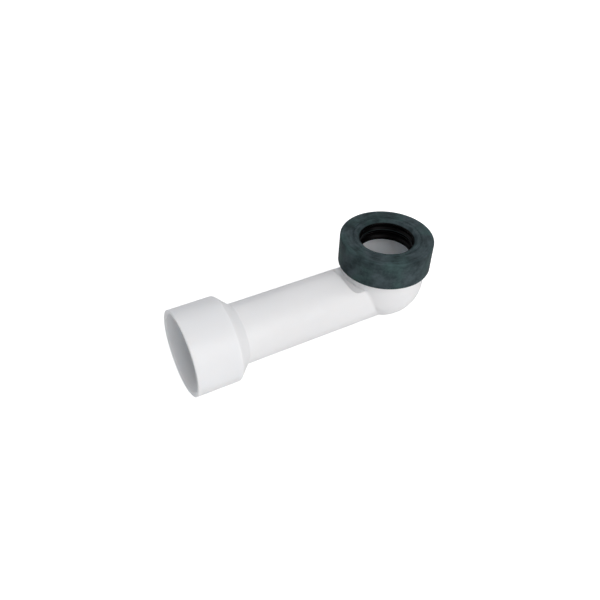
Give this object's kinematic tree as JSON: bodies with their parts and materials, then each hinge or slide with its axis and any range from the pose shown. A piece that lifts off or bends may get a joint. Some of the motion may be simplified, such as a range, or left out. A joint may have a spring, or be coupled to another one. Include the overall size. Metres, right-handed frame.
{
  "type": "trap extension piece",
  "caption": "White plastic waste fitting: a straight pipe with a plain socket at one end and, at the other, an upright ball-bottomed cup capped by a black rubber seal that grips a tail pipe.",
  "frame": {"origin": "on the pipe's axis at the socket's seat, where the end of a pipe pushed into the socket comes to rest", "axes": "-X out of the socket's mouth along the pipe, +Z out of the seal's bore along the cup's axis, Y across the mirror plane"},
  "size_m": [0.179, 0.062, 0.0681],
  "materials": {
    "white_plastic": "moulded white plastic with a soft satin gloss",
    "black_rubber": "black moulded rubber with a dusty grey-green bloom outside and a clean glossy bore"
  },
  "bodies": {
    "root": {"pipe_body": "white_plastic", "rubber_seal": "black_rubber"}
  },
  "joints": []
}
